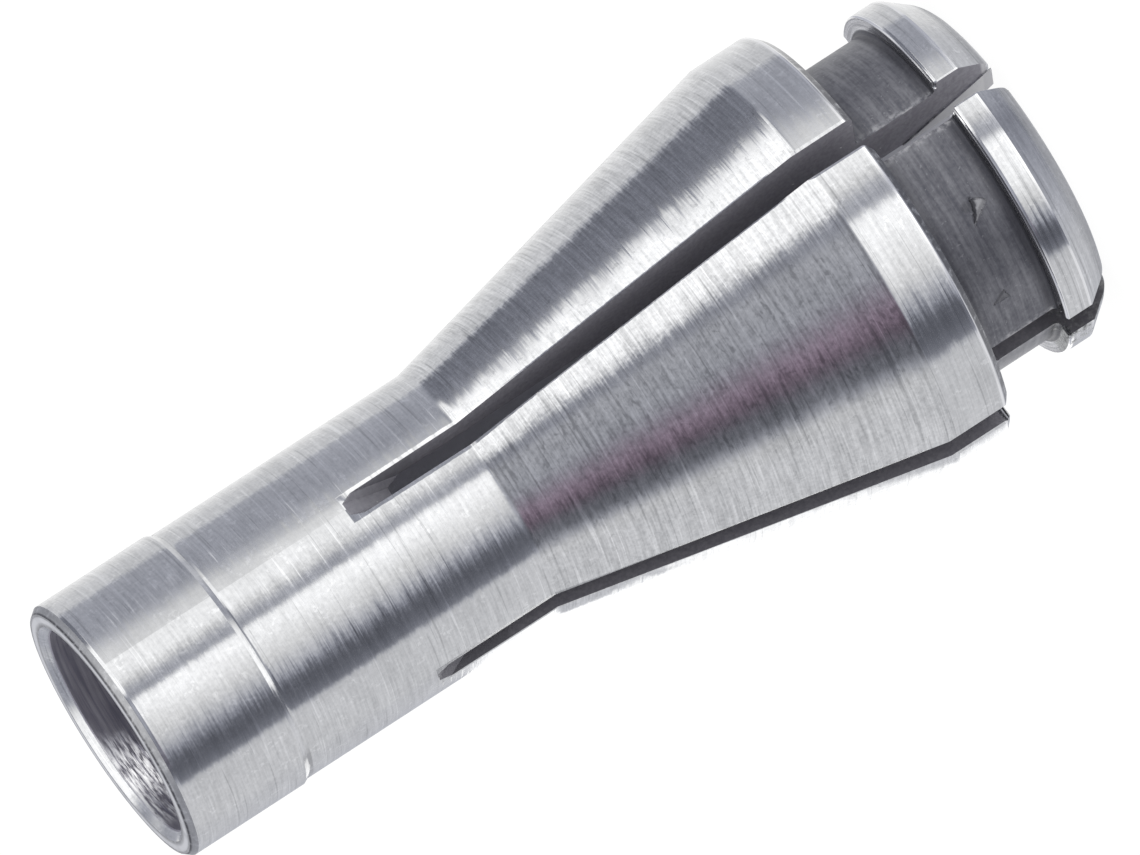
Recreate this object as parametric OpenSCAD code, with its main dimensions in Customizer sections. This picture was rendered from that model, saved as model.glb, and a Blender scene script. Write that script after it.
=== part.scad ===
// Slit collet for a straight die grinder, in millimetres.
// One steel bar, turned, bored and slit into four springing jaws. It stands on
// its nose: the nose face is on z = 0 with the bore axis on Z, and +Z points
// to the tail that goes into the spindle. The first slot is on +X.

/* [Overall] */
// Length from the nose face to the tail end
collet_len = 37.2; // [36:0.1:42]

/* [Tail] */
// Diameter of the ground band at the tail, which fits the spindle bore
tail_d = 10; // [9.9:0.05:10.4]
// Length of the ground band at the tail
tail_band_len = 4.85; // [3:0.05:6]
// Chamfer on the outer edge of the tail
tail_chamfer = 0.24; // [0.1:0.02:0.4]
// Edge break where the tail bore meets the tail end
tail_edge_break = 0.28; // [0.05:0.01:0.4]

/* [Body] */
// Diameter of the plain cylinder between the tail band and the cone
body_d = 9.8; // [9.4:0.05:9.85]
// Half angle of the closing cone, in degrees
cone_half_angle = 13; // [12:0.25:15]

/* [Head] */
// Diameter of the land, the widest part of the collet
land_d = 16.4; // [15.6:0.1:17]
// Height of the cone's wide end above the nose face
land_top_z = 7.84; // [7:0.02:9]
// Height of the shoulder under the land above the nose face
shoulder_z = 5.54; // [5:0.02:6]
// Chamfer on the lower edge of the land
land_chamfer = 0.27; // [0.1:0.01:0.4]

/* [Groove and lip] */
// Diameter of the groove that the clamping nut catches in
groove_d = 12.2; // [11:0.1:12.8]
// Diameter of the lip at the nose
lip_d = 13.6; // [13:0.1:14.4]
// Height of the lip's back face above the nose face
lip_top_z = 2.27; // [2:0.01:2.6]
// Height at which the lip's front chamfer begins
lip_bottom_z = 1.26; // [0.9:0.01:1.5]
// Diameter at which the lip's front chamfer would meet the nose face
nose_d = 11.6; // [11.2:0.1:12]
// Radius that rounds the front chamfer into the nose face
nose_round = 1.2; // [0.6:0.1:1.3]
// Fillet radius in both corners of the groove
groove_fillet = 0.2; // [0.1:0.02:0.4]

/* [Bore] */
// Diameter of the bore that grips the tool shank, through the whole length
bore_d = 8.05; // [6:0.05:8.1]
// Depth of the steep chamfer at the mouth of the bore
mouth_depth = 0.4; // [0.1:0.05:0.6]
// Width of that chamfer across the nose face
mouth_width = 0.22; // [0.1:0.02:0.3]

/* [Slots] */
// Number of slots, and so of jaws
slot_count = 4; // [3:1:4]
// Width of a slot at its closed end
slot_w_tail = 0.9; // [0.7:0.05:1.1]
// Width of a slot at the nose, where the jaws have sprung open a little
slot_w_nose = 1.14; // [0.8:0.02:1.3]
// Height above the nose face where a slot ends on the outside
slot_end_z = 27; // [26:0.1:29]
// Diameter of the slitting saw that leaves the curved end of each slot
saw_d = 63; // [50:1:80]
// Distance from the axis to the bottom of the saw cut
saw_floor_r = 1.2; // [0.9:0.1:1.4]
// Chamfer on the rim of the saw, which rounds off the closed end of each slot
saw_corner = 0.2; // [0.05:0.05:0.3]
// Width of the broken edges along the slots on the lip
lip_edge_break = 0.11; // [0.05:0.01:0.25]
// Width of the broken edges along the slots on the land
land_edge_break = 0.15; // [0.05:0.01:0.2]
// Radius of the filed corners where a slot leaves the shoulder of the land
shoulder_corner = 0.5; // [0.1:0.05:0.6]
// Radius of the filed corners where a slot leaves the nose face
nose_corner_r = 0.3; // [0.1:0.05:0.4]
// Radius of the filed corners where a slot crosses the back edge of the lip
lip_corner_r = 0.25; // [0.1:0.05:0.3]
// Radius from the axis, at the nose, of the web that is slit last
web_r = 5.39; // [5:0.05:5.5]
// Slope of that web's outer edge towards the axis, per millimetre of height
web_slope = 0.372; // [0.3:0.01:0.5]
// Height of a web slot's walls above the walls of the first slot
web_step = 0.05; // [0.02:0.01:0.1]

/* [Hidden] */
fine = 128;
tail_r = tail_d / 2;
body_r = body_d / 2;
land_r = land_d / 2;
groove_r = groove_d / 2;
lip_r = lip_d / 2;
nose_r = nose_d / 2;
bore_r = bore_d / 2;
band_z = collet_len - tail_band_len;
cone_top_z = land_top_z + (land_r - body_r) / tan(cone_half_angle);
lip_break = 0.07;
// The ground band runs down to the body over this length
band_break = 2 * (tail_r - body_r);
// The front chamfer rises at this angle, and the nose rounding ends on it here
chamfer_angle = atan2(lip_bottom_z, lip_r - nose_r);
round_reach = nose_round * tan(chamfer_angle / 2);
// The saw rolls out of the bar where its rim passes the outside of the body
saw_r = saw_d / 2;
saw_axis_r = saw_floor_r + saw_r;
// Half of the width that the chamfered rim of the saw keeps
saw_rim_half = slot_w_tail / 2 - saw_corner;
saw_stop_z = slot_end_z - sqrt(pow(saw_r, 2) - pow(saw_axis_r - body_r, 2));
// Points of a quarter fillet about (r, z), from angle a to angle b
function arc(r, z, rad, a, b, n = 5) =
    [for (i = [0:n]) let (t = a + (b - a) * i / n) [r + rad * cos(t), z + rad * sin(t)]];
function half_w(z) =
    (slot_w_nose + (slot_w_tail - slot_w_nose) * z / slot_end_z) / 2;

// What the nose rounding takes off the sharp corner of the section
module nose_corner() {
    end = [nose_r + round_reach * cos(chamfer_angle), round_reach * sin(chamfer_angle)];
    difference() {
        polygon([
            [nose_r - round_reach, 0], [nose_r - round_reach, -1],
            end + [sin(chamfer_angle), -cos(chamfer_angle)], end
        ]);
        translate([nose_r - round_reach, nose_round])
            circle(r = nose_round, $fn = fine);
    }
}

// Outside of the turned bar, from the nose to the tail
module turned_outline() {
    rotate_extrude($fn = fine)
        difference() {
        polygon(concat(
            [[0, 0], [nose_r, 0]],
            [[lip_r, lip_bottom_z], [lip_r, lip_top_z - lip_break], [lip_r - lip_break, lip_top_z]],
            arc(groove_r + groove_fillet, lip_top_z + groove_fillet, groove_fillet, 270, 180),
            arc(groove_r + groove_fillet, shoulder_z - groove_fillet, groove_fillet, 180, 90),
            [[land_r - land_chamfer, shoulder_z], [land_r, shoulder_z + land_chamfer]],
            [[land_r, land_top_z], [body_r, cone_top_z], [body_r, band_z]],
            [[tail_r, band_z + band_break]],
            [[tail_r, collet_len - tail_chamfer], [tail_r - tail_chamfer * 0.8, collet_len]],
            [[0, collet_len]]
        ));
        nose_corner();
        }
}

// Through bore and the breaks at both mouths
module bore() {
    translate([0, 0, -1])
        cylinder(h = collet_len + 2, r = bore_r, $fn = fine);
    translate([0, 0, -mouth_depth])
        cylinder(h = mouth_depth * 2, r1 = bore_r + mouth_width * 2, r2 = bore_r, $fn = fine);
    translate([0, 0, collet_len - tail_edge_break])
        cylinder(h = tail_edge_break * 2, r1 = bore_r, r2 = bore_r + tail_edge_break * 2, $fn = fine);
}

// Path of the saw in the plane of a slot: a straight pass and the round end
module saw_path() {
    union() {
        translate([saw_floor_r, -2, -2])
            cube([land_r + 3 - saw_floor_r, 4, saw_stop_z + 2]);
        translate([saw_axis_r, 0, saw_stop_z])
            rotate([90, 0, 0])
                rotate_extrude($fn = 256)
                    polygon([
                        [0, -2], [saw_r - 2 + saw_rim_half, -2], [saw_r, -saw_rim_half],
                        [saw_r, saw_rim_half], [saw_r - 2 + saw_rim_half, 2], [0, 2]
                    ]);
    }
}

// Wedge that holds the two walls of a slot, a little wider at the nose; inset
// brings both walls closer together
module slot_walls(inset = 0) {
    rotate([90, 0, 90])
        linear_extrude(height = land_r + 3)
            polygon([
                [-half_w(-1) + inset, -1], [half_w(-1) - inset, -1],
                [half_w(slot_end_z + 1) - inset, slot_end_z + 1], [-half_w(slot_end_z + 1) + inset, slot_end_z + 1]
            ]);
}

// The first slot stops short of the bore at the nose and leaves this web, which
// keeps the jaws together until the collet is ground
module web() {
    top = 4.2;
    rotate([90, 0, 0])
        translate([0, 0, -2])
            linear_extrude(height = 4)
                polygon([[0, -1], [web_r + web_slope, -1], [web_r - web_slope * top, top], [0, top]]);
}

// Broken edges of a slot along a straight run, twice as wide as deep: r is the
// outer surface, w half the slot there, b the width of the break, z0 to z1 the run
module edge_breaks(r, w, b, z0, z1) {
    translate([r - b / 2, 0, z0])
        linear_extrude(height = z1 - z0)
            polygon([[0, -w], [0, w], [b / 2 + 0.4, w + b + 0.8], [b / 2 + 0.4, -w - b - 0.8]]);
}

// Filed corners where the walls of a slot, w from its middle plane, leave a
// face at height z; rad is their radius, r0 to r1 the run, sides the walls that
// have one, and dir is 1 where the steel is above the face and -1 where it is below
module filed_corners(r0, r1, z, w, rad, sides = [-1, 1], dir = 1) {
    for (side = sides)
        translate([r0, side * (w - 0.02), z - dir * 0.02])
            rotate([90, 0, 90])
                linear_extrude(height = r1 - r0)
                    difference() {
                        translate([side > 0 ? 0 : -rad, dir > 0 ? 0 : -rad])
                            square(rad);
                        translate([side * rad, dir * rad])
                            circle(r = rad, $fn = fine);
                    }
}

// One slot; filed lists the walls whose corner at the shoulder is filed
module slot(filed = [-1, 1]) {
    difference() {
        intersection() {
            slot_walls();
            saw_path();
        }
        web();
    }
    intersection() {
        slot_walls(web_step);
        translate([saw_floor_r, -2, -2])
            cube([5, 4, 8]);
    }
    edge_breaks(lip_r, half_w(lip_bottom_z), lip_edge_break, lip_bottom_z - 0.3, lip_top_z + 0.001);
    edge_breaks(land_r, half_w(6.7), land_edge_break, shoulder_z - 0.01, land_top_z + 0.8);
    filed_corners(groove_r + 1, land_r + 1, shoulder_z, half_w(shoulder_z), shoulder_corner, filed);
    filed_corners(groove_r + groove_fillet + 0.05, lip_r + 1, lip_top_z, half_w(lip_top_z), lip_corner_r, dir = -1);
    filed_corners(bore_r - 0.2, lip_r, 0, half_w(0), nose_corner_r);
}

module collet() {
    color([0.74, 0.75, 0.77])
        difference() {
            turned_outline();
            bore();
            for (i = [0:slot_count - 1])
                // One corner at the shoulder was left as the saw made it
                rotate([0, 0, i * 360 / slot_count]) slot(i == 0 ? [-1] : [-1, 1]);
        }
}

collet();
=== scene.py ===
import math

import bmesh
import bpy
from mathutils import Euler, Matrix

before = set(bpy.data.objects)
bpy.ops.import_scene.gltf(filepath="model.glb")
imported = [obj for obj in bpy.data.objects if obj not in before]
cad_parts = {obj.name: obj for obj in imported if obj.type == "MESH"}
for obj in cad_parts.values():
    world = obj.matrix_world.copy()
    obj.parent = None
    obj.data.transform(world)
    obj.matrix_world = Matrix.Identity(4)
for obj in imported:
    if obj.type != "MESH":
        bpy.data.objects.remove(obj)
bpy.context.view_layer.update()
scene = bpy.context.scene
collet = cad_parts["collet"]

# ---------------------------------------------------------------- camera
# A long lens from 12 degrees above the horizon, rolled so that the tail points
# to the lower left.
cam_data = bpy.data.cameras.new("camera")
cam = bpy.data.objects.new("camera", cam_data)
scene.collection.objects.link(cam)
cam.location = (0.95575103, -0.4357946, 0.22340259)
cam.rotation_euler = Euler((-1.22590194, 0.96749929, -1.71120635), "XYZ")
cam_data.sensor_width = 36.0
cam_data.lens = 993.645
cam_data.clip_start = 0.05
cam_data.clip_end = 12.0
scene.camera = cam
CAM_AZ = math.atan2(cam.location.y, cam.location.x)


# ------------------------------------------------------- node-tree helpers
class Tree:
    """Shader maths written as calls: every method returns an output socket."""

    def __init__(self, tree):
        self.t = tree
        self.t.nodes.clear()
        self.n = 0

    def node(self, kind, **props):
        nd = self.t.nodes.new(kind)
        nd.location = (180 * (self.n % 30), -170 * (self.n // 30))
        self.n += 1
        for k, v in props.items():
            setattr(nd, k, v)
        return nd

    def put(self, sock, value):
        if isinstance(value, bpy.types.NodeSocket):
            self.t.links.new(value, sock)
        else:
            sock.default_value = value

    def m(self, op, a, b=0.0, c=0.0, clamp=False):
        nd = self.node("ShaderNodeMath", operation=op, use_clamp=clamp)
        for s, v in zip(nd.inputs, (a, b, c)):
            self.put(s, v)
        return nd.outputs[0]

    def add(self, *xs):
        out = xs[0]
        for x in xs[1:]:
            out = self.m("ADD", out, x)
        return out

    def mul(self, *xs):
        out = xs[0]
        for x in xs[1:]:
            out = self.m("MULTIPLY", out, x)
        return out

    def sub(self, a, b):
        return self.m("SUBTRACT", a, b)

    def inv(self, a):
        return self.m("SUBTRACT", 1.0, a, clamp=True)

    def step(self, x, lo, hi, kind="SMOOTHSTEP"):
        """0 below lo, 1 above hi, smooth between; lo may be above hi."""
        nd = self.node("ShaderNodeMapRange", interpolation_type=kind)
        flip = lo > hi
        if flip:
            lo, hi = hi, lo
        for s, v in zip(nd.inputs, (x, lo, hi, 1.0 if flip else 0.0, 0.0 if flip else 1.0)):
            self.put(s, v)
        return nd.outputs[0]

    def band(self, x, lo, hi, soft_lo, soft_hi=None):
        """1 between lo and hi, with soft edges centred on them."""
        soft_hi = soft_lo if soft_hi is None else soft_hi
        return self.mul(
            self.step(x, lo - soft_lo / 2, lo + soft_lo / 2),
            self.step(x, hi + soft_hi / 2, hi - soft_hi / 2),
        )

    def mix(self, f, a, b):
        """Number a where f is 0, b where it is 1."""
        nd = self.node("ShaderNodeMix", data_type="FLOAT")
        self.put(nd.inputs[0], f)
        self.put(nd.inputs[2], a)
        self.put(nd.inputs[3], b)
        return nd.outputs[0]

    def mixc(self, f, a, b, blend="MIX"):
        nd = self.node("ShaderNodeMix", data_type="RGBA", blend_type=blend)
        self.put(nd.inputs[0], f)
        for s, v in ((nd.inputs[6], a), (nd.inputs[7], b)):
            self.put(s, v if isinstance(v, bpy.types.NodeSocket) else (*v, 1.0))
        return nd.outputs[2]

    def xyz(self, x, y, z):
        nd = self.node("ShaderNodeCombineXYZ")
        for s, v in zip(nd.inputs, (x, y, z)):
            self.put(s, v)
        return nd.outputs[0]

    def split(self, vec):
        nd = self.node("ShaderNodeSeparateXYZ")
        self.put(nd.inputs[0], vec)
        return nd.outputs

    def v(self, op, a, b=None, scale=None):
        nd = self.node("ShaderNodeVectorMath", operation=op)
        self.put(nd.inputs[0], a)
        if b is not None:
            self.put(nd.inputs[1], b)
        if scale is not None:
            self.put(nd.inputs["Scale"], scale)
        return nd.outputs["Value"] if op in ("DOT_PRODUCT", "LENGTH") else nd.outputs[0]

    def noise(self, vec, scale=1.0, detail=2.0, rough=0.5, distortion=0.0):
        nd = self.node("ShaderNodeTexNoise", noise_dimensions="3D")
        self.put(nd.inputs["Vector"], vec)
        nd.inputs["Scale"].default_value = scale
        nd.inputs["Detail"].default_value = detail
        nd.inputs["Roughness"].default_value = rough
        nd.inputs["Distortion"].default_value = distortion
        return nd.outputs[0]

    def voronoi(self, vec, scale=1.0, rand=1.0, feature="F1"):
        nd = self.node("ShaderNodeTexVoronoi", voronoi_dimensions="3D", feature=feature)
        self.put(nd.inputs["Vector"], vec)
        nd.inputs["Scale"].default_value = scale
        nd.inputs["Randomness"].default_value = rand
        return nd.outputs["Distance"]


# ---------------------------------------------------------------- studio
# Soft boxes and black flags stand round the collet as on a product table. They
# are painted on the inside of a large dome that only reflections see, so the
# floor and the background stay plain. Angles are degrees from the camera's side.
def level(v):
    """Emission that a steel face shows as grey v of 255."""
    return (v / 255.0) ** 2.2 / 0.70


def make_dome():
    mesh = bpy.data.meshes.new("studio_dome")
    bm = bmesh.new()
    bmesh.ops.create_uvsphere(bm, u_segments=96, v_segments=48, radius=2.0)
    bmesh.ops.reverse_faces(bm, faces=bm.faces)
    for f in bm.faces:
        f.smooth = True
    bm.to_mesh(mesh)
    bm.free()
    dome = bpy.data.objects.new("studio_dome", mesh)
    scene.collection.objects.link(dome)
    dome.rotation_euler = (0, 0, CAM_AZ)
    for ray in ("camera", "diffuse", "transmission", "volume_scatter", "shadow"):
        setattr(dome, "visible_" + ray, False)

    mat = bpy.data.materials.new("studio_cards")
    mat.use_nodes = True
    mat.cycles.emission_sampling = "NONE"
    t = Tree(mat.node_tree)
    pos = t.node("ShaderNodeTexCoord").outputs["Object"]
    x, y, z = t.split(pos)
    az = t.mul(t.m("ARCTAN2", y, x), 180 / math.pi)
    el = t.mul(t.m("ARCSINE", t.mul(z, 0.5)), 180 / math.pi)

    def card(base, lo, hi, soft_lo, soft_hi, grey):
        return t.mix(t.band(az, lo, hi, soft_lo, soft_hi), base, grey)

    def ramp(lo, hi, a, b):
        """Grey level that runs from a at azimuth lo to b at azimuth hi."""
        nd = t.node("ShaderNodeMapRange", interpolation_type="LINEAR")
        for s, v in zip(nd.inputs, (az, lo, hi, level(a), level(b))):
            t.put(s, v)
        return nd.outputs[0]

    # The soft edges of some cards lean, so that ridges along the axis comb them
    def lean(k, el0):
        off = t.m("MINIMUM", t.m("MAXIMUM", t.sub(el, el0), -5.0), 5.0)
        return t.add(az, t.mul(off, k))

    def between(lo_var, lo, lo_soft, hi_var, hi, hi_soft):
        return t.mul(
            t.step(lo_var, lo - lo_soft / 2, lo + lo_soft / 2),
            t.step(hi_var, hi + hi_soft / 2, hi - hi_soft / 2),
        )

    # Walls of the room
    room = t.add(
        level(190),
        t.mul(t.step(az, 128, 172), level(214) - level(190)),
        t.mul(t.step(az, 165, 180), level(206) - level(214)),
        t.mul(t.step(az, -138, -170), level(168) - level(190)),
        t.mul(t.band(az, -152, -122, 20), level(183) - level(190)),
    )
    # Ring of cards at table height, which the straight walls reflect
    lean_a, lean_b = lean(1.3, -12), lean(2.4, -12)
    low = card(room, -67, -18, 4, 20, level(106))
    low = t.mix(between(az, -58, 12, az, 0, 4), low, level(90))
    low = t.mix(between(lean_a, -32, 22, az, 13, 2.5), low, ramp(-26, 4, 188, 251))
    low = t.mix(t.band(az, 13, 22, 2.5, 13), low, level(148))
    fade = t.mix(t.step(lean_b, 50, 80, "LINEAR"), level(239), ramp(74, 112, 143, 154))
    low = t.mix(between(az, 29, 13, az, 118, 6), low, fade)
    # Higher cards, which the cone reflects
    lean_c, lean_d = lean(1.2, 13), lean(1.4, 8)
    high = card(room, -65, -30, 18, 30, level(98))
    cone_ramp = t.mix(t.step(az, -13, -11), ramp(-26, -12, 126, 147), ramp(-12, 7, 147, 155))
    high = t.mix(between(lean_c, -31, 22, az, 12, 4), high, cone_ramp)
    high = t.mix(t.band(az, 11, 21, 5, 6), high, level(128))
    high = t.mix(between(az, 22.5, 7, lean_d, 79.5, 9), high, ramp(24, 60, 242, 256))
    high = t.mix(between(lean_d, 79.5, 9, az, 118, 6), high, ramp(84, 112, 118, 108))
    # A grey wall stands behind
    behind = t.mul(t.step(t.m("ABSOLUTE", az), 128, 146), t.step(el, 2, 9))
    high = t.mix(behind, high, level(158))
    high = t.mix(t.mul(t.step(t.m("ABSOLUTE", az), 160, 170), t.step(el, 2, 9)), high, level(176))
    wall = t.mix(t.step(el, -8, 3), low, high)
    # Pale table below with a dark patch under the collet
    xx, yy = t.mul(x, 0.5), t.mul(y, 0.5)
    dy = t.mul(t.sub(yy, 0.16), t.mix(t.step(yy, 0.14, 0.18), 0.62, 1.50))
    far = t.m("SQRT", t.add(t.mul(xx, xx), t.mul(dy, dy)))
    nadir = t.mix(t.step(far, 0.0, 0.50, "LINEAR"), level(122), level(182))
    front = t.mul(t.step(t.m("ABSOLUTE", az), 100, 70), t.step(el, -74, -62))
    nadir = t.mix(front, nadir, t.mix(t.step(az, 22, 46), level(246), level(150)))
    nadir = t.mix(t.mul(t.band(az, -92, -60, 14), t.band(el, -64, -44, 8)), nadir, level(95))
    wall = t.mix(t.step(el, -34, -52), wall, nadir)
    wall = t.mix(t.mul(t.band(az, -36, 40, 12), t.band(el, -45, -26, 6)), wall, t.mix(t.step(az, -4, 28), level(165), level(122)))
    top = t.mix(t.band(az, 22, 108, 16), level(150), level(255))
    top = t.mix(t.step(el, 64, 74), top, level(244))
    wall = t.mix(t.step(el, 34, 46), wall, top)
    em = t.node("ShaderNodeEmission")
    em.inputs["Color"].default_value = (1, 1, 1, 1)
    # Dark flags are slightly blue, as black cloth is beside white cards, and one
    # of the high ones is a faded red
    tint = t.mixc(t.step(wall, level(210), level(90)), (1.0, 1.0, 1.0), (0.92, 0.96, 1.14))
    red = t.mul(t.band(az, -47, -24, 14, 24), t.step(el, 0, 8), t.step(el, 30, 22))
    tint = t.mixc(t.mul(red, 0.85), tint, (0.84, 0.60, 0.83))
    t.put(em.inputs["Color"], tint)
    t.put(em.inputs["Strength"], wall)
    out = t.node("ShaderNodeOutputMaterial")
    t.put(out.inputs["Surface"], em.outputs[0])
    mesh.materials.append(mat)
    return dome


def make_near_card():
    """A white card low and close behind, which only the cone and land reflect."""
    mesh = bpy.data.meshes.new("near_card")
    far, lo, hi = 0.060, -0.009, 0.0145
    cols = [CAM_AZ + math.radians(a) for a in range(-186, -135, 6)]
    verts = [(far * math.cos(a), far * math.sin(a), h) for a in cols for h in (lo, hi)]
    faces = [(2 * i, 2 * i + 1, 2 * i + 3, 2 * i + 2) for i in range(len(cols) - 1)]
    mesh.from_pydata(verts, [], faces)
    card = bpy.data.objects.new("near_card", mesh)
    scene.collection.objects.link(card)
    for ray in ("camera", "diffuse", "transmission", "volume_scatter", "shadow"):
        setattr(card, "visible_" + ray, False)
    mat = bpy.data.materials.new("near_card_white")
    mat.use_nodes = True
    mat.cycles.emission_sampling = "NONE"
    t = Tree(mat.node_tree)
    em = t.node("ShaderNodeEmission")
    em.inputs["Color"].default_value = (1, 1, 1, 1)
    em.inputs["Strength"].default_value = level(252)
    out = t.node("ShaderNodeOutputMaterial")
    t.put(out.inputs["Surface"], em.outputs[0])
    mesh.materials.append(mat)


def make_floor():
    mesh = bpy.data.meshes.new("floor")
    s = 6.0
    mesh.from_pydata([(-s, -s, 0), (s, -s, 0), (s, s, 0), (-s, s, 0)], [], [(0, 1, 2, 3)])
    floor = bpy.data.objects.new("floor", mesh)
    scene.collection.objects.link(floor)
    floor.visible_glossy = False
    mat = bpy.data.materials.new("floor_white")
    mat.use_nodes = True
    t = Tree(mat.node_tree)
    dif = t.node("ShaderNodeBsdfDiffuse")
    dif.inputs["Color"].default_value = (0.09, 0.09, 0.09, 1)
    em = t.node("ShaderNodeEmission")
    em.inputs["Color"].default_value = (1, 1, 1, 1)
    em.inputs["Strength"].default_value = 0.95
    mat.cycles.emission_sampling = "NONE"
    both = t.node("ShaderNodeAddShader")
    t.put(both.inputs[0], dif.outputs[0])
    t.put(both.inputs[1], em.outputs[0])
    out = t.node("ShaderNodeOutputMaterial")
    t.put(out.inputs["Surface"], both.outputs[0])
    mesh.materials.append(mat)
    return floor


def make_world():
    world = bpy.data.worlds.new("studio")
    scene.world = world
    world.use_nodes = True
    bg = world.node_tree.nodes["Background"]
    bg.inputs["Color"].default_value = (1, 1, 1, 1)
    bg.inputs["Strength"].default_value = 1.0


make_dome()
make_near_card()
make_floor()
make_world()
scene.view_settings.view_transform = "Standard"
scene.view_settings.look = "None"


# ------------------------------------------------------------------ steel
# Sizes that the masks need, in millimetres, as the CAD has them.
BODY_R, TAIL_R, LAND_R, LIP_R, GROOVE_R, BORE_R = 4.9, 5.0, 8.2, 6.8, 6.1, 4.025
TAIL_Z, BAND_Z, SLOT_Z, CONE_TOP_Z = 37.2, 32.35, 27.0, 22.134
LAND_TOP_Z, SHOULDER_Z, LIP_TOP_Z, LIP_BOTTOM_Z = 7.84, 5.54, 2.27, 1.26
SLOT_W_NOSE, SLOT_W_TAIL = 1.14, 0.90
WEB_R, WEB_SLOPE = 5.39, 0.372


def make_steel():
    mat = bpy.data.materials.new("ground_steel")
    mat.use_nodes = True
    t = Tree(mat.node_tree)
    pos = t.v("SCALE", t.node("ShaderNodeTexCoord").outputs["Object"], scale=1000.0)
    x, y, z = t.split(pos)
    r = t.m("SQRT", t.add(t.mul(x, x), t.mul(y, y)))
    ux, uy = t.m("DIVIDE", x, r), t.m("DIVIDE", y, r)
    geo = t.node("ShaderNodeNewGeometry")
    nx, ny, nz = t.split(geo.outputs["True Normal"])
    nr = t.add(t.mul(nx, ux), t.mul(ny, uy))
    ax, ay = t.m("ABSOLUTE", x), t.m("ABSOLUTE", y)
    lat = t.m("MINIMUM", ax, ay)
    half_w = t.mix(t.m("DIVIDE", z, SLOT_Z), SLOT_W_NOSE / 2, SLOT_W_TAIL / 2)
    edge = t.sub(lat, half_w)  # distance to the nearer slot wall

    # Where each surface is
    outward = t.step(nr, 0.30, 0.36)
    in_slot_z = t.step(z, SLOT_Z + 0.03, SLOT_Z + 0.02)
    wall = t.mul(t.step(t.m("ABSOLUTE", nr), 0.32, 0.28), t.step(t.m("ABSOLUTE", nz), 0.3, 0.25), in_slot_z)
    floor_cut = t.mul(t.step(edge, 0.01, 0.0), t.step(r, BODY_R - 0.01, BODY_R - 0.02), t.step(nr, -0.2, -0.1), in_slot_z, t.step(z, 24.0, 24.1))
    slot = t.m("MAXIMUM", wall, floor_cut)
    web = t.mul(wall, t.step(t.add(r, t.mul(z, WEB_SLOPE)), WEB_R + 0.01, WEB_R - 0.01), t.step(z, 4.4, 3.8))
    groove = t.mul(
        t.band(z, LIP_TOP_Z - 0.01, SHOULDER_Z + 0.01, 0.01),
        t.step(r, LAND_R - 0.29, LAND_R - 0.31),
        t.step(nr, -0.3, -0.2),
        t.inv(slot),
    )
    bore = t.mul(t.step(nr, -0.2, -0.3), t.inv(slot), t.step(r, BORE_R + 0.05, BORE_R + 0.03))
    ground = t.mul(t.inv(slot), t.inv(groove), t.inv(bore))
    end = t.mul(t.step(nz, 0.9, 0.95), t.step(z, TAIL_Z - 0.1, TAIL_Z - 0.05))
    on_cone = t.band(z, LAND_TOP_Z, CONE_TOP_Z, 0.1)
    on_band = t.step(z, BAND_Z, BAND_Z + 0.2)

    # Grinding lines run round the axis; each noise is long round it, short along it
    def lines(a, b, detail=2.0, rough=0.5, shift=0.0, stretch=2.4):
        vec = t.xyz(t.mul(ux, a), t.mul(uy, a), t.add(t.mul(z, b), shift))
        n = t.noise(vec, 1.0, detail, rough)
        return t.mul(t.sub(n, 0.5), stretch * 2.0)  # about -1 to 1

    def spots(scale, detail=2.0, rough=0.5, shift=0.0, stretch=2.4, distortion=0.0):
        at = t.v("ADD", t.v("SCALE", pos, scale=scale), t.xyz(shift, shift, shift))
        return t.mul(t.sub(t.noise(at, 1.0, detail, rough, distortion), 0.5), stretch * 2.0)

    hair = lines(2.2, 6.5, 3.0, 0.62)
    hair2 = lines(4.0, 13.0, 2.0, 0.6, 31.7)
    coarse = lines(1.4, 2.6, 2.0, 0.5, 77.3)
    speck = spots(7.0, 2.0, 0.6, 12.3)
    patch = spots(0.55, 3.0, 0.55, 40.0)
    mottle = spots(3.2, 3.0, 0.65, 27.0)
    # Single longer lines: some catch the light, some are dark; those that catch the light are also lightened in colour,
    # a painted highlight
    single = lines(0.8, 9.0, 1.0, 0.45, 140.9)
    shiny = t.step(single, 0.72, 0.98)
    dull = t.step(single, -0.72, -0.98)
    # Handling scratches: thin curls where a slow noise passes its middle
    curl_line = t.step(t.m("ABSOLUTE", spots(0.9, 1.0, 0.5, 91.0, 1.0, 1.6)), 0.022, 0.002)
    curls = t.mul(curl_line, t.step(spots(0.8, 2.0, 0.5, 5.0), 0.45, 0.8))
    nicks = t.mul(t.step(spots(2.3, 0.0, 0.5, 63.0), 0.78, 0.95), t.step(speck, 0.0, 0.4))

    # Short scratches in a few directions; the basis lies flat on one side
    flat_u = t.add(t.mul(x, 0.415), t.mul(y, 0.910))
    flat_n = t.sub(t.mul(x, 0.910), t.mul(y, 0.415))

    def dashes(angle, long, thin, shift, lo, hi):
        c, w = math.cos(math.radians(angle)), math.sin(math.radians(angle))
        along = t.add(t.mul(flat_u, c), t.mul(z, w))
        across = t.sub(t.mul(z, c), t.mul(flat_u, w))
        vec = t.xyz(t.mul(along, 1.0 / long), t.add(t.mul(across, 1.0 / thin), shift), t.mul(flat_n, 0.8))
        return t.step(t.noise(vec, 1.0, 1.0, 0.5), lo, hi)

    cluster = t.step(spots(1.1, 1.0, 0.6, 61.0), -0.35, 0.75)
    scuffs = t.add(
        dashes(8, 0.46, 0.17, 3.0, 0.56, 0.80),
        t.mul(dashes(-30, 0.36, 0.15, 53.0, 0.57, 0.80), 0.7),
        t.mul(dashes(55, 0.34, 0.15, 97.0, 0.58, 0.82), 0.6),
    )
    scuffs = t.mul(scuffs, t.mix(cluster, 0.35, 1.3))
    woven = lines(13.0, 10.0, 2.0, 0.6, 211.0)
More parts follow.
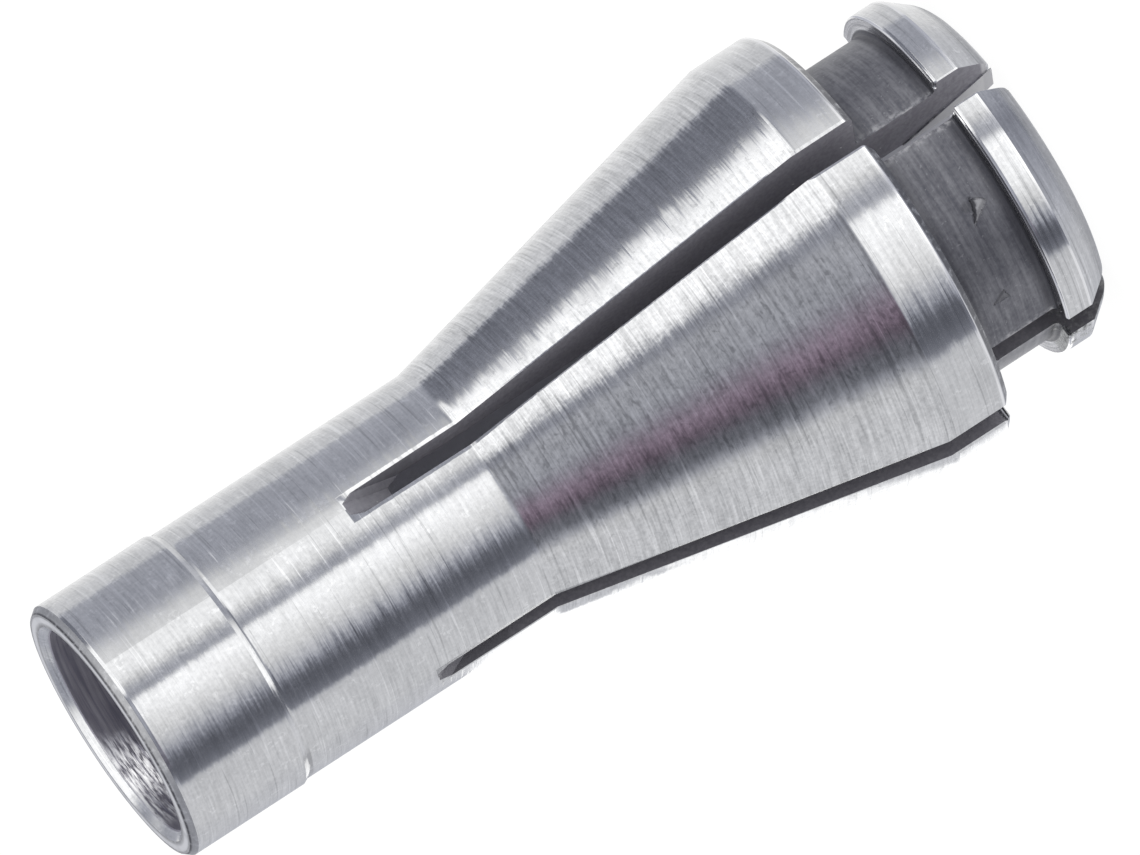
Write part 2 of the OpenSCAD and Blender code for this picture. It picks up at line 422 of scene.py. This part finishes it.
    # One jaw has been rubbed in its seat more than the others
    scuffed = t.mul(on_cone, t.step(t.add(uy, t.mul(patch, 0.03)), -0.25, -0.36), t.step(uy, -0.93, -0.80), t.step(ux, 0.0, 0.1))

    # Normal: the surface's own, turned a little round the axis and along it
    tang = t.xyz(t.mul(uy, -1.0), ux, 0.0)
    d_az = t.add(t.mul(hair2, 0.010), t.mul(coarse, 0.006), t.mul(speck, 0.008))
    d_z = t.add(t.mul(hair, 0.018), t.mul(hair2, 0.018), t.mul(coarse, 0.004), t.mul(shiny, 0.045), t.mul(dull, -0.035))
    d_z = t.mul(d_z, t.mix(on_band, 1.0, 0.75))
    # The front jaw was sprung while its lip and land were ground
    sprung = t.mul(t.step(uy, -0.84, -0.70), t.step(uy, -0.36, -0.52), t.step(ux, 0.0, 0.1), t.band(z, LIP_BOTTOM_Z, LAND_TOP_Z, 0.04))
    d_az = t.add(d_az, t.mul(sprung, outward, t.mix(t.step(z, 4.5, 3.5), 0.055, 0.110)))
    d_az = t.mul(d_az, ground)
    d_z = t.mul(d_z, ground)

    # Corners that the grinding wheel rounded: the normal turns over a short way
    def eased(height, reach, turn_by):
        off = t.sub(z, height)
        w = t.step(t.m("ABSOLUTE", off), reach, 0.0, "LINEAR")
        return t.mul(t.m("SIGN", off), w, turn_by / 2.0)

    ease = t.add(eased(CONE_TOP_Z, 0.22, 0.225), eased(LAND_TOP_Z, 0.09, -0.225))
    ease = t.add(ease, t.mul(t.step(z, BAND_Z - 0.14, BAND_Z, "LINEAR"), t.step(z, BAND_Z + 0.002, BAND_Z), -0.26))
    worn_up = t.add(
        t.mul(t.band(z, TAIL_Z - 0.36, TAIL_Z - 0.235, 0.03), 0.36),
        t.mul(t.band(z, LIP_TOP_Z - 0.16, LIP_TOP_Z - 0.06, 0.05), 0.45),
    )
    d_z = t.add(d_z, t.mul(t.add(ease, worn_up), ground, outward))
    tail_chamfer = t.mul(t.step(nz, 0.3, 0.4), t.step(nz, 0.9, 0.8), t.step(r, TAIL_R - 0.21, TAIL_R - 0.19), t.step(z, TAIL_Z - 0.3, TAIL_Z - 0.25))
    d_z = t.add(d_z, t.mul(tail_chamfer, 0.30))
    n = t.v("ADD", geo.outputs["Normal"], t.v("SCALE", tang, scale=d_az))
    n = t.v("ADD", n, t.xyz(0.0, 0.0, d_z))
    # A rubbed patch just inside the tail bore, whose marks look up; its colour is also whitened there, a painted
    # highlight
    rub_and_highlight = t.mul(
        t.step(t.add(t.mul(ux, -0.985), t.mul(uy, -0.17), t.mul(patch, 0.06)), 0.78, 0.95),
        t.step(t.add(z, t.mul(patch, 0.5)), 34.9, 36.3),
        t.step(t.noise(t.xyz(t.mul(ux, 6.0), t.mul(uy, 6.0), t.mul(z, 11.0)), 1.0, 2.0, 0.65), 0.30, 0.62),
        bore,
    )
    n = t.v("ADD", n, t.xyz(0.0, 0.0, t.mul(rub_and_highlight, 0.52)))
    # Broken edges along the slots turn towards the slot
    near_y = t.m("LESS_THAN", ax, ay)
    side_x = t.mul(t.m("SIGN", x), near_y, -1.0)
    side_y = t.mul(t.m("SIGN", y), t.inv(near_y), -1.0)
    # The saw left its largest burr on one side of the slot on +X, near the closed end
    side_up = t.mul(t.step(x, 1.0, 2.0), t.step(y, 0.2, 0.4), t.inv(near_y), t.step(z, 18.5, 22.0), t.step(z, 27.0, 26.6))
    width = t.add(t.mix(t.step(z, 19.0, 23.0), 0.06, 0.15), t.mul(side_up, 0.02), t.mul(hair, 0.015))
    burr = t.mul(t.step(t.m("DIVIDE", edge, width), 1.0, 0.7), outward, ground, in_slot_z, t.step(z, LAND_TOP_Z + 0.5, LAND_TOP_Z + 1.5))
    n = t.v("ADD", n, t.v("SCALE", t.xyz(side_x, side_y, 0.0), scale=t.mul(burr, t.mix(side_up, 0.45, 0.27))))
    n = t.v("NORMALIZE", n)

    # Relief of the unground surfaces: turning marks, grain and two knocks in the groove
    turn = t.noise(t.xyz(t.mul(ux, 2.4), t.mul(uy, 2.4), t.mul(z, 5.0)), 1.0, 4.0, 0.68)
    grain = t.noise(pos, 6.0, 3.0, 0.6)

    def knock(azimuth, height, size, lean):
        """A chipped dent: a wedge with a dark lip on two sides and a dark patch beside it, which are painted shade, and
        a bright floor, which is a painted highlight on its lit side.
        """
        a0 = math.radians(azimuth)
        du = t.sub(t.mul(y, math.cos(a0)), t.mul(x, math.sin(a0)))
        dv = t.sub(z, height)
        c, w = math.cos(math.radians(lean)) / size, math.sin(math.radians(lean)) / size
        down = t.add(t.sub(t.mul(dv, w), t.mul(du, c)), t.mul(speck, 0.07))
        side = t.add(t.m("MULTIPLY", t.add(t.mul(du, w), t.mul(dv, c)), -1.0), t.mul(mottle, 0.07))
        facing = t.step(t.add(t.mul(x, math.cos(a0)), t.mul(y, math.sin(a0))), 4.0, 5.0)
        taper = t.sub(0.40, t.mul(t.add(down, 0.5), 0.36))
        out_side = t.sub(t.m("ABSOLUTE", side), taper)
        out_top = t.sub(-0.48, down)
        inside = t.mul(t.step(t.m("MAXIMUM", out_side, out_top), 0.04, -0.06), facing)
        lip = t.mul(t.band(out_side, -0.20, 0.05, 0.12), t.step(out_top, 0.02, -0.06), t.step(down, 0.66, 0.45), facing, t.mix(t.step(side, 0.05, -0.05), 0.30, 1.0))
        # Painted shade: a dark patch beside the dent on its shaded side
        side_shade = t.mul(t.step(t.m("MAXIMUM", t.sub(t.m("ABSOLUTE", t.add(side, 0.42)), 0.22), t.sub(t.m("ABSOLUTE", t.add(down, 0.12)), 0.22)), 0.10, -0.10), facing)
        # Painted highlight on the lit side of the dent's floor
        floor_highlight = t.mul(inside, t.step(side, -0.16, 0.02), t.inv(lip))
        return inside, t.m("MAXIMUM", lip, t.mul(side_shade, 0.6)), floor_highlight

    knock_a, shade_rim_a, highlight_a = knock(-34.8, 3.38, 0.84, 34.0)
    knock_b, shade_rim_b, highlight_b = knock(-66.0, 4.05, 0.60, 75.0)
    knocks = t.add(knock_a, knock_b)
    knock_shade_rims = t.add(t.mul(shade_rim_a, 0.72), t.mul(shade_rim_b, 0.22))
    knock_highlights = t.add(t.mul(highlight_a, 0.75), t.mul(highlight_b, 0.10))
    relief = t.add(t.mul(turn, 0.006), t.mul(grain, 0.006), t.mul(knocks, -0.04))
    bump = t.node("ShaderNodeBump")
    bump.inputs["Strength"].default_value = 1.0
    bump.inputs["Distance"].default_value = 0.001
    t.put(bump.inputs["Height"], t.mul(relief, t.inv(ground)))
    t.put(bump.inputs["Normal"], n)

    # Colour of the ground steel, with its lines and specks
    tone = t.add(
        t.mul(hair, t.mix(on_cone, 0.42, 0.62)),
        t.mul(hair2, t.mix(on_cone, 0.30, 0.55)),
        t.mul(speck, t.mix(on_cone, 0.30, 0.45)),
        t.mul(patch, 0.22),
        t.mul(shiny, 0.7),
        t.mul(dull, -0.8),
    )
    tone = t.add(tone, t.mul(curls, t.mix(on_cone, 0.45, -0.6)), t.mul(nicks, t.mix(on_cone, 0.4, -0.8)))
    tone = t.add(tone, t.mul(t.m("MINIMUM", t.add(mottle, 0.15), 0.0), t.mix(scuffed, t.mul(on_cone, 0.3), 0.85)), t.mul(woven, scuffed, 0.55))
    tone = t.sub(tone, t.mul(scuffs, t.step(patch, -1.2, -0.1), t.mix(scuffed, 0.05, 1.5)))
    steel_c = t.mixc(t.step(tone, -1.5, 1.5, "LINEAR"), (0.43, 0.435, 0.445), (0.95, 0.955, 0.965))
    steel_c = t.mixc(t.mul(scuffed, 0.5), steel_c, (1.0, 0.985, 0.93), "MULTIPLY")
    steel_c = t.mixc(t.mul(t.step(z, 0.75, 0.30), outward), steel_c, (0.80, 0.80, 0.80), "MULTIPLY")
    # Painted highlights: ridges and edges are brighter (the land's chamfer, the lip's edges, the step, a ring on the
    # tail end and the large saw burr)
    ridge_highlight = t.add(
        t.mul(t.band(z, SHOULDER_Z + 0.24, SHOULDER_Z + 0.36, 0.06), outward),
        t.mul(t.band(z, LIP_TOP_Z - 0.10, LIP_TOP_Z + 0.03, 0.03), outward),
        t.mul(t.band(z, LIP_BOTTOM_Z, LIP_BOTTOM_Z + 0.09, 0.05), outward),
        t.mul(t.band(z, BAND_Z + 0.05, BAND_Z + 0.20, 0.06), 0.25),
        t.mul(end, t.band(r, TAIL_R - 0.52, TAIL_R - 0.32, 0.10), 0.75),
        t.mul(burr, side_up, 0.6),
    )
    steel_c = t.mixc(t.mul(t.m("MINIMUM", ridge_highlight, 1.0), t.step(hair, -1.0, 0.1)), steel_c, (0.97, 0.97, 0.98))
    # Dark lines: painted shade at the foot of the step, round the tail end and under the land, and a score above the
    # land on one jaw
    score = t.mul(t.band(z, LAND_TOP_Z + 0.03, LAND_TOP_Z + 0.13, 0.05), t.step(uy, -0.17, -0.26), t.step(uy, -0.88, -0.80), t.step(ux, 0.0, 0.1))
    shade_and_score_line = t.add(
        t.mul(t.band(z, BAND_Z - 0.16, BAND_Z + 0.20, 0.05), t.step(ux, 0.22, 0.08), t.step(uy, -0.5, -0.6), 0.40),
        t.mul(tail_chamfer, 0.40),
        t.mul(t.band(r, TAIL_R - 0.29, TAIL_R - 0.15, 0.04), t.step(z, TAIL_Z - 0.10, TAIL_Z - 0.08), 0.55),
        t.mul(end, t.step(r, TAIL_R - 0.50, TAIL_R - 0.68), 0.70),
        t.mul(t.band(z, SHOULDER_Z - 0.02, SHOULDER_Z + 0.22, 0.05), outward, 0.82),
        t.mul(score, 0.42),
    )
    steel_c = t.mixc(t.mul(t.m("MINIMUM", shade_and_score_line, 1.0), t.step(mottle, -1.6, 0.2)), steel_c, (0.10, 0.10, 0.11))

    # Colours of the groove, the slots and the bore
    shade_by_lip = t.step(z, LIP_TOP_Z + 0.55, LIP_TOP_Z + 0.12)
    worn = t.mul(t.step(t.add(edge, t.mul(mottle, 0.10)), 0.32, 0.02), t.step(r, GROOVE_R + 0.05, GROOVE_R + 0.03), t.step(spots(4.6, 2.0, 0.6, 77.0), -0.5, 0.7))
    g = t.add(t.mul(turn, 0.9), t.mul(grain, 0.45), t.mul(patch, 0.08))
    groove_c = t.mixc(t.step(g, 0.35, 1.0), (0.105, 0.107, 0.128), (0.265, 0.267, 0.290))
    groove_c = t.mixc(t.mul(t.step(speck, 0.75, 1.1), 0.5), groove_c, (0.36, 0.36, 0.38))
    # Painted shade: the groove darkens next to the lip
    groove_c = t.mixc(t.mul(shade_by_lip, 0.72), groove_c, (0.055, 0.055, 0.067))
    groove_c = t.mixc(t.mul(worn, 0.75), groove_c, (0.46, 0.46, 0.48))
    # Painted shade on the groove just under the land
    groove_c = t.mixc(t.mul(t.step(z, 4.70, 5.10), 0.40), groove_c, (0.05, 0.05, 0.06))
    # Painted shade inside the knocks and on their rims, and a painted highlight on their lit floors
    groove_c = t.mixc(t.mul(knocks, 0.50), groove_c, (0.07, 0.07, 0.08))
    groove_c = t.mixc(t.mul(knock_highlights, 0.85), groove_c, (0.60, 0.60, 0.62))
    groove_c = t.mixc(t.mul(t.m("MINIMUM", knock_shade_rims, 1.0), 0.85), groove_c, (0.03, 0.03, 0.035))
    lip_back = t.mul(groove, t.step(nz, 0.5, 0.7), t.step(r, GROOVE_R + 0.14, GROOVE_R + 0.22))
    rings = t.noise(t.xyz(t.mul(r, 9.0), t.mul(ux, 1.5), t.mul(uy, 1.5)), 1.0, 2.0, 0.6)
    groove_c = t.mixc(lip_back, groove_c, t.mixc(t.step(rings, 0.35, 0.65), (0.27, 0.27, 0.29), (0.64, 0.64, 0.66)))
    slot_c = t.mixc(t.step(t.add(grain, t.mul(speck, 0.1)), 0.30, 0.72), (0.27, 0.262, 0.30), (0.36, 0.352, 0.39))
    slot_c = t.mixc(t.step(t.noise(pos, 4.0, 1.0, 0.5), 0.76, 0.80), slot_c, (0.8, 0.8, 0.8))
    slot_c = t.mixc(web, slot_c, (0.74, 0.74, 0.75))
    slot_c = t.mixc(t.mul(wall, t.step(z, 0.42, 0.30)), slot_c, (0.62, 0.62, 0.64))
    slot_c = t.mixc(t.mul(floor_cut, 0.5), slot_c, (0.20, 0.20, 0.22))
    # The slot on -Y is darker, most of all at the nose, and saw burrs hang on the jaw beside it
    darker_slot = t.mul(t.step(y, -0.5, -1.5), t.step(ax, 0.75, 0.65))
    slot_c = t.mixc(t.mul(darker_slot, t.mix(t.step(z, 3.6, 2.2), 0.42, 0.75)), slot_c, (0.05, 0.05, 0.06))
    burrs = t.mul(t.step(x, -1.9, -1.3), t.step(x, -0.45, -0.52), t.step(y, -1.0, -2.0), t.step(z, 2.7, 2.4))
    burrs = t.mul(burrs, t.step(t.add(spots(2.6, 3.0, 0.7, 9.0), t.mul(edge, -0.6)), -0.5, 0.1))
    # Swarf and oil on the back of the lip beside it
    lip_dirt = t.mul(lip_back, t.step(x, -3.4, -2.6), t.step(x, -0.45, -0.52), t.step(y, -1.0, -2.0))
    bore_lines = lines(1.2, 7.0, 3.0, 0.6, 17.0)
    bore_c = t.mixc(t.step(t.add(bore_lines, t.mul(patch, 0.4)), -1.0, 1.2), (0.205, 0.20, 0.25), (0.40, 0.39, 0.44))
    # Painted light: the bore is lighter in its slotted part, where light comes in through the slots
    bore_c = t.mixc(t.step(z, 27.0, 24.0), bore_c, (0.60, 0.60, 0.64))
    colour = t.mixc(groove, steel_c, groove_c)
    colour = t.mixc(bore, colour, bore_c)
    # Painted highlight: the rubbed patch in the bore is whitened
    colour = t.mixc(t.mul(rub_and_highlight, t.step(bore_lines, -0.7, 0.3)), colour, (0.9, 0.9, 0.9))
    colour = t.mixc(slot, colour, slot_c)
    colour = t.mixc(t.mul(lip_dirt, 0.85), colour, t.mixc(t.step(mottle, -0.7, 0.7), (0.09, 0.095, 0.09), (0.22, 0.23, 0.22)))
    colour = t.mixc(t.mul(burrs, t.mix(wall, 0.75, 0.2)), colour, t.mixc(t.step(speck, -0.6, 0.9), (0.06, 0.062, 0.06), (0.46, 0.47, 0.46)))

    rough = t.add(0.14, t.mul(hair2, 0.03), t.mul(patch, 0.015))
    rough = t.mix(end, rough, 0.30)
    rough = t.mix(tail_chamfer, rough, 0.42)
    rough = t.mix(t.mul(t.step(z, 0.62, 0.30), ground), rough, 0.50)
    rough = t.mix(groove, rough, t.mix(lip_back, 0.40, 0.26))
    rough = t.mix(bore, rough, 0.40)
    rough = t.mix(slot, rough, 0.45)
    rough = t.mix(burrs, rough, 0.42)
    metal = t.mix(groove, 1.0, t.mix(lip_back, 0.64, 0.9))
    metal = t.mix(bore, metal, t.mix(rub_and_highlight, 0.5, 1.0))
    metal = t.mix(slot, metal, 0.3)

    bsdf = t.node("ShaderNodeBsdfPrincipled")
    t.put(bsdf.inputs["Base Color"], colour)
    t.put(bsdf.inputs["Metallic"], metal)
    t.put(bsdf.inputs["Roughness"], rough)
    t.put(bsdf.inputs["Normal"], bump.outputs[0])
    out = t.node("ShaderNodeOutputMaterial")
    t.put(out.inputs["Surface"], bsdf.outputs[0])
    return mat


steel = make_steel()
for slot in collet.material_slots:
    slot.material = steel
